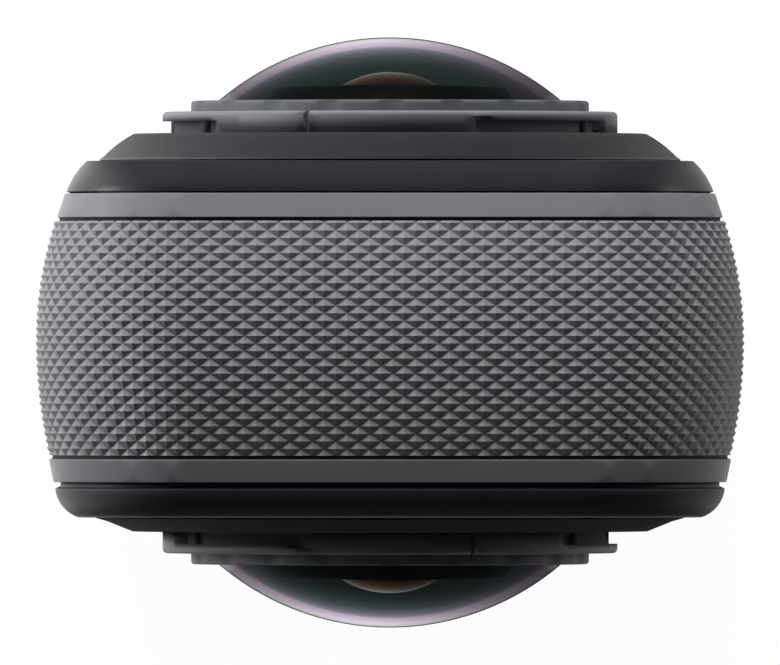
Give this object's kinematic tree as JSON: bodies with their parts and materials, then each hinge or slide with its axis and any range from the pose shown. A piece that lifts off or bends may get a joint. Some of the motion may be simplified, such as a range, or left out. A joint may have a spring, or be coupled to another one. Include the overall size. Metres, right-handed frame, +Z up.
{
  "type": "360 degree camera",
  "caption": "Tall pocket camera with a domed fisheye lens on front and rear, textured grip band, touchscreen, side battery, port door and a tripod thread in its base.",
  "frame": {"origin": "middle of the body's width and depth, on the plane that its flat base stands on", "axes": "+Z up along the body's height, +Y the way the front lens looks, -Y the screen side, +X the side with the two buttons and the port door"},
  "size_m": [0.046, 0.0384, 0.1245],
  "materials": {
    "grip_plastic": "moulded dark grey plastic with a fine raised diamond texture",
    "front_trim_paint": "satin mid grey paint",
    "rear_trim_paint": "satin dark grey paint",
    "front_cover_plastic": "fine matte near-black plastic",
    "bezel_plastic": "smooth satin black plastic",
    "ring_plastic": "satin black filled plastic",
    "retainer_metal": "black anodised aluminium",
    "dome_glass": "polished coated optical glass",
    "inner_glass": "polished coated optical glass",
    "barrel_metal": "black anodised aluminium",
    "frame_metal": "cast and machined light alloy",
    "seal_rubber": "black silicone rubber",
    "screen_glass": "polished black-backed cover glass",
    "display_stack": "laminated display panel",
    "bracket_steel": "stamped steel",
    "board_laminate": "green solder mask",
    "shield_steel": "tinned steel",
    "speaker_plastic": "black plastic box",
    "battery_case": "wrapped metal battery can, dark grey",
    "bay_plastic": "black glass-filled plastic",
    "contact_gold": "gold plated",
    "screw_steel": "dark plated steel",
    "magnet_nickel": "nickel plated magnet",
    "insert_steel": "turned stainless steel",
    "port_steel": "drawn stainless steel shell",
    "sensor_glass": "image sensor under cover glass",
    "card_plastic": "moulded black card",
    "spreader_copper": "rolled copper alloy",
    "light_pipe": "clear moulded light pipe",
    "button_plastic": "satin black plastic",
    "shutter_plastic": "satin black plastic"
  },
  "bodies": {
    "camera_body": {"grip_sleeve": "grip_plastic", "centre_frame": "frame_metal", "front_cover": "front_cover_plastic", "front_trim_band": "front_trim_paint", "front_seal": "seal_rubber", "rear_seal": "seal_rubber", "rear_trim_band": "rear_trim_paint", "rear_bezel": "bezel_plastic", "front_lens_surround": "front_cover_plastic", "rear_lens_surround": "bezel_plastic", "heat_spreader": "spreader_copper", "lens_chassis": "frame_metal", "battery_bay": "bay_plastic", "battery_contacts": "contact_gold", "card_slot": "port_steel", "speaker": "speaker_plastic", "main_board": "board_laminate", "board_shields": "shield_steel", "microphones": "shield_steel", "status_light": "light_pipe", "screen_glass": "screen_glass", "display_panel": "display_stack", "display_bracket": "bracket_steel", "rear_switches": "board_laminate", "side_switches": "board_laminate", "usb_port": "port_steel", "usb_hinge_pin": "screw_steel", "base_plate": "frame_metal", "base_screws": "screw_steel", "base_magnets": "magnet_nickel", "tripod_insert": "insert_steel", "front_bayonet_ring": "ring_plastic", "front_lens_retainer": "retainer_metal", "front_dome_glass": "dome_glass", "front_inner_lens": "inner_glass", "front_lens_barrel": "barrel_metal", "front_lens_carrier": "frame_metal", "rear_bayonet_ring": "ring_plastic", "rear_lens_retainer": "retainer_metal", "rear_dome_glass": "dome_glass", "rear_inner_lens": "inner_glass", "rear_lens_barrel": "barrel_metal", "rear_lens_carrier": "frame_metal", "relay_lenses": "inner_glass", "lens_seals": "seal_rubber", "lens_screws": "screw_steel", "image_sensors": "sensor_glass", "sensor_boards": "board_laminate"},
    "battery": {"battery_pack": "battery_case", "battery_cover": "grip_plastic", "battery_cover_seal": "seal_rubber"},
    "battery_latch": {"battery_latch": "button_plastic"},
    "memory_card": {"memory_card": "card_plastic"},
    "power_button": {"power_button": "button_plastic"},
    "quick_button": {"quick_button": "button_plastic"},
    "shutter_button": {"shutter_button": "shutter_plastic"},
    "lens_switch_button": {"lens_switch_button": "shutter_plastic"},
    "usb_door": {"usb_door": "grip_plastic", "usb_door_seal": "seal_rubber"}
  },
  "joints": [
    {"name": "battery_slide", "type": "slide", "parent": "camera_body", "child": "battery", "axis": [-1, 0, 0], "range_m": [0, 0.032]},
    {"name": "battery_latch_slide", "type": "slide", "parent": "battery", "child": "battery_latch", "axis": [0, 0, -1], "range_m": [0, 0.002], "stiffness_N_per_m": 300},
    {"name": "memory_card_push", "type": "slide", "parent": "camera_body", "child": "memory_card", "axis": [1, 0, 0], "range_m": [0, 0.0006], "stiffness_N_per_m": 1500},
    {"name": "power_button_press", "type": "slide", "parent": "camera_body", "child": "power_button", "axis": [-1, 0, 0], "range_m": [0, 0.0004], "stiffness_N_per_m": 2500},
    {"name": "quick_button_press", "type": "slide", "parent": "camera_body", "child": "quick_button", "axis": [-1, 0, 0], "range_m": [0, 0.0004], "stiffness_N_per_m": 2500},
    {"name": "shutter_button_press", "type": "slide", "parent": "camera_body", "child": "shutter_button", "axis": [0, 1, 0], "range_m": [0, 0.0004], "stiffness_N_per_m": 2500},
    {"name": "lens_switch_button_press", "type": "slide", "parent": "camera_body", "child": "lens_switch_button", "axis": [0, 1, 0], "range_m": [0, 0.0004], "stiffness_N_per_m": 2500},
    {"name": "usb_door_hinge", "type": "hinge", "parent": "camera_body", "child": "usb_door", "pos_m": [0.0219, 0, 0.0246], "axis": [0, 1, 0], "range_deg": [0, 90]}
  ]
}
